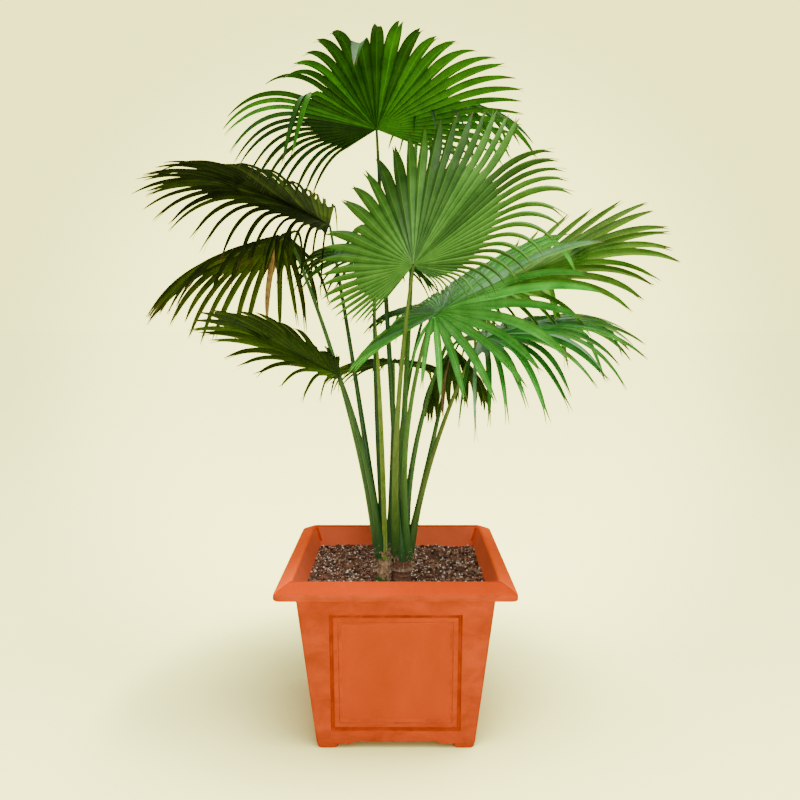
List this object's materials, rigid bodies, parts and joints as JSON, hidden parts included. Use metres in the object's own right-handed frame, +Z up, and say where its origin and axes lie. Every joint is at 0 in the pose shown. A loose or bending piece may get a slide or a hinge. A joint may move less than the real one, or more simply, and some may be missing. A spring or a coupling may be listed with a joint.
{
  "type": "chinese fan palm in a square planter",
  "caption": "Large fan palm with pleated round fronds on slender stalks rising from short clustered stems, in a tapered square planter with a sloping lip, sunk side panels and corner feet.",
  "frame": {"origin": "on the floor under the middle of the planter", "axes": "+Z up; the planter's front wall and the lowest spread of the crown face -Y; +X to the right seen from the front"},
  "size_m": [1.0166, 0.643, 1.2368],
  "materials": {
    "planter_plastic": "matte moulded plastic, terracotta coloured",
    "potting_soil": "rough bark and peat mix with white perlite",
    "stem_fibre": "rough ringed bark with dry fibres",
    "stalk": "smooth waxy green stalk",
    "leaf_dark": "dark satin leaf",
    "leaf_mid": "satin leaf",
    "leaf_bright": "glossy leaf",
    "leaf_pale": "matte leaf underside",
    "leaf_young": "young folded leaf"
  },
  "bodies": {
    "root": {"planter": "planter_plastic", "potting_soil": "potting_soil", "left_stem": "stem_fibre", "right_stem": "stem_fibre", "spear_leaf": "leaf_young", "top_petiole": "stalk", "front_petiole": "stalk", "left_upper_petiole": "stalk", "left_middle_petiole": "stalk", "left_lower_petiole": "stalk", "right_lower_petiole": "stalk", "right_side_petiole": "stalk", "right_upper_petiole": "stalk", "right_hanging_petiole": "stalk", "rear_top_petiole": "stalk", "rear_right_petiole": "stalk", "rear_left_petiole": "stalk", "rear_low_petiole": "stalk", "top_frond": "leaf_mid", "front_frond": "leaf_pale", "left_upper_frond": "leaf_dark", "left_middle_frond": "leaf_dark", "left_lower_frond": "leaf_mid", "right_lower_frond": "leaf_bright", "right_side_frond": "leaf_bright", "right_upper_frond": "leaf_pale", "right_hanging_frond": "leaf_dark", "rear_top_frond": "leaf_mid", "rear_right_frond": "leaf_mid", "rear_left_frond": "leaf_mid", "rear_low_frond": "leaf_dark"}
  },
  "joints": []
}
